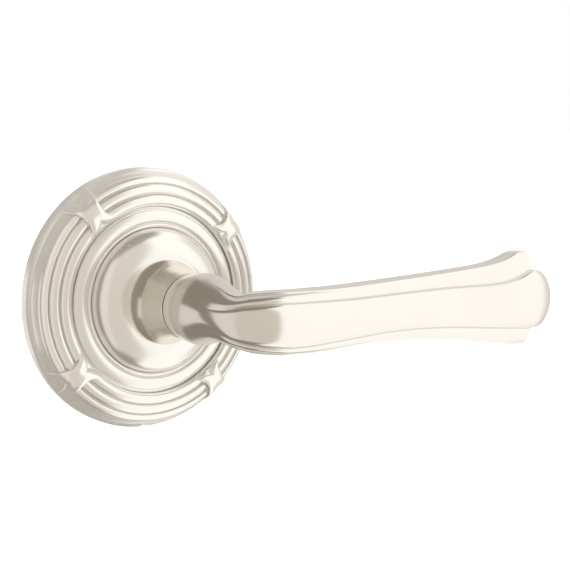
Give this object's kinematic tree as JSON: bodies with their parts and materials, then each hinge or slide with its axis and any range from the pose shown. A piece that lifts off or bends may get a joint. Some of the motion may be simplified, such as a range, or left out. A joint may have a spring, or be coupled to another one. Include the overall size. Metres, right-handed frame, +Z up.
{
  "type": "lever handle lockset",
  "caption": "Lever door handle trim with a round reeded and ribbon-tied rose, a cranked fluted lever, a sprung cassette, a square spindle and through-door posts.",
  "frame": {"origin": "point where the spindle axis crosses the door face, on the back plane of the rose", "axes": "+X along the lever towards its tip, -Y out of the door towards the user, +Z up"},
  "size_m": [0.1328, 0.1035, 0.0666],
  "materials": {
    "satin_nickel": "satin nickel plate, fine brushed",
    "satin_nickel_collar": "satin nickel plate, turned",
    "satin_nickel_lever": "satin nickel plate, brushed along the lever",
    "plated_steel": "zinc plated",
    "spindle_steel": "drawn, bright",
    "spring_steel": "oiled spring steel",
    "die_cast_zinc": "die-cast zinc alloy, as cast",
    "acetal": "natural acetal",
    "dark_acetal": "dark acetal",
    "black_steel": "black oxide"
  },
  "bodies": {
    "rose": {"rosette": "satin_nickel", "neck_collar": "satin_nickel_collar", "collar_nut": "plated_steel", "collar_lock_washer": "spring_steel", "neck_bush": "acetal", "mounting_plate": "plated_steel", "cassette_housing": "plated_steel", "cassette_rivets": "die_cast_zinc", "hub_bush": "acetal", "upper_post": "plated_steel", "lower_post": "plated_steel", "rose_set_screw": "black_steel", "return_spring": "spring_steel"},
    "lever": {"lever_handle": "satin_nickel_lever", "lever_set_screw": "black_steel", "thrust_washer": "dark_acetal", "hub": "die_cast_zinc", "hub_circlip": "spring_steel", "wave_washer": "spring_steel", "spindle": "spindle_steel", "spindle_cross_pin": "black_steel"}
  },
  "joints": [
    {"name": "lever_turn", "type": "hinge", "parent": "rose", "child": "lever", "pos_m": [0, 0, 0], "axis": [0, 1, 0], "range_deg": [0, 50], "stiffness_Nm_per_rad": 0.5, "springref_deg": -68.75, "deforming": ["return_spring"]}
  ]
}
